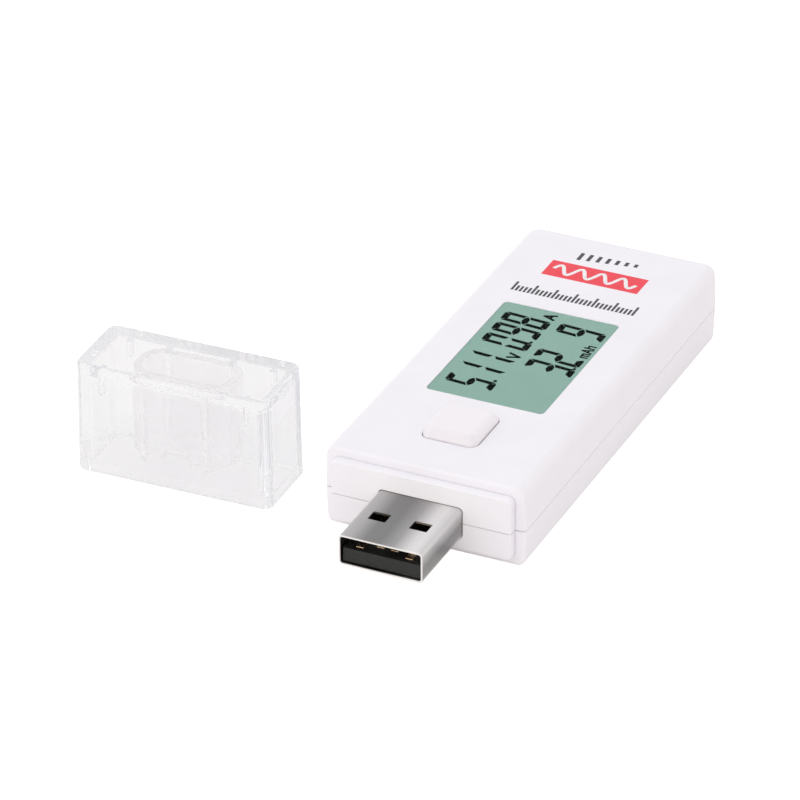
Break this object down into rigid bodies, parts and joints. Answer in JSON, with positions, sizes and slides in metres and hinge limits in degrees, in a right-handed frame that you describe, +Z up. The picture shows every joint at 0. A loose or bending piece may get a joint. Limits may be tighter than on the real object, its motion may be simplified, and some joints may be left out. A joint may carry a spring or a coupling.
{
  "type": "usb power meter",
  "caption": "Pocket in-line USB power meter: white two-shell case with display window and push button, USB-A plug and socket, and a clear plug cap standing beside it.",
  "frame": {"origin": "centre of the underside of the case", "axes": "+Z up from the underside, -Y towards the plug, +Y towards the socket, +X to the right seen from the plug end"},
  "size_m": [0.0655, 0.0808, 0.0165],
  "materials": {
    "white_plastic": "satin white moulded ABS",
    "key_plastic": "satin white moulded ABS, slightly warmer",
    "window_plastic": "polished clear acrylic",
    "clear_plastic": "polished clear polystyrene",
    "display_glass": "grey-green reflective display cell",
    "reflector_film": "pearly film",
    "plated_steel": "nickel-plated steel",
    "dark_insulator": "dark grey moulded insulator",
    "pale_insulator": "pale moulded insulator",
    "gold_contact": "gold-flashed contact strip",
    "green_board": "green solder mask",
    "black_resin": "moulded epoxy",
    "resistor_body": "coated ceramic",
    "capacitor_body": "moulded yellow resin",
    "zebra_rubber": "layered silicone"
  },
  "bodies": {
    "meter_body": {"top_case": "white_plastic", "bottom_case": "white_plastic", "window_lens": "window_plastic", "lcd_panel": "display_glass", "lcd_reflector": "reflector_film", "lcd_frame": "pale_insulator", "zebra_strip": "zebra_rubber", "switch_body": "black_resin", "switch_dome": "plated_steel", "main_board": "green_board", "plug_shell": "plated_steel", "plug_tongue": "dark_insulator", "plug_contact_1": "gold_contact", "plug_contact_2": "gold_contact", "plug_contact_3": "gold_contact", "plug_contact_4": "gold_contact", "socket_shell": "plated_steel", "socket_tongue": "pale_insulator", "socket_contact_1": "gold_contact", "socket_contact_2": "gold_contact", "socket_contact_3": "gold_contact", "socket_contact_4": "gold_contact", "current_shunt": "resistor_body", "amplifier_chip": "black_resin", "controller_chip": "black_resin", "memory_chip": "black_resin", "voltage_regulator": "black_resin", "timing_crystal": "plated_steel", "input_capacitor": "capacitor_body", "output_capacitor": "capacitor_body"},
    "button_body": {"mode_button": "key_plastic", "switch_plunger": "pale_insulator"},
    "cap_body": {"cap": "clear_plastic"}
  },
  "joints": [
    {"name": "button_press", "type": "slide", "parent": "meter_body", "child": "button_body", "axis": [0, 0, -1], "range_m": [0, 0.0003], "stiffness_N_per_m": 60, "springref_m": -0.0002},
    {"name": "cap_lift", "type": "slide", "parent": "meter_body", "child": "cap_body", "axis": [0, 0, 1], "range_m": [0, 0.0136]}
  ]
}
